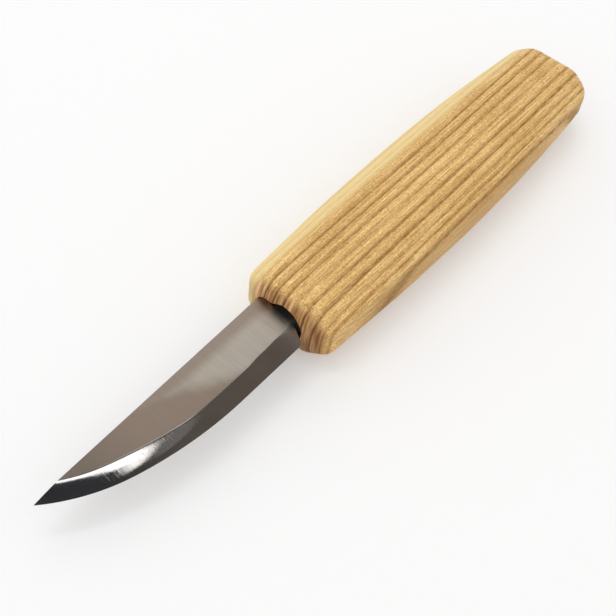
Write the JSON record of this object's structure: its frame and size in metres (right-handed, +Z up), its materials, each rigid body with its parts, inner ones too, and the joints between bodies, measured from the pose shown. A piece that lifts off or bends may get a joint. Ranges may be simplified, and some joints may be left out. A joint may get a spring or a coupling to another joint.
{
  "type": "wood carving knife",
  "caption": "Fixed-blade carving knife: a short bevel-ground blade with a rising belly, its stick tang glued into a drilled, barrel-shaped wooden handle.",
  "frame": {"origin": "on the ground under the middle of the knife's box, the knife lying on its handle", "axes": "+X along the handle to the butt, so the blade points to -X; the cutting edge faces -Y; +Z up out of the blade's broad side"},
  "size_m": [0.215, 0.0342, 0.021],
  "materials": {
    "blade_steel": "satin flats, polished bevels",
    "handle_ash": "sanded ash with a thin oil finish",
    "set_glue": "dark set epoxy, hidden but for its front face"
  },
  "bodies": {
    "root": {"blade": "blade_steel", "handle": "handle_ash", "glue_bed": "set_glue"}
  },
  "joints": []
}
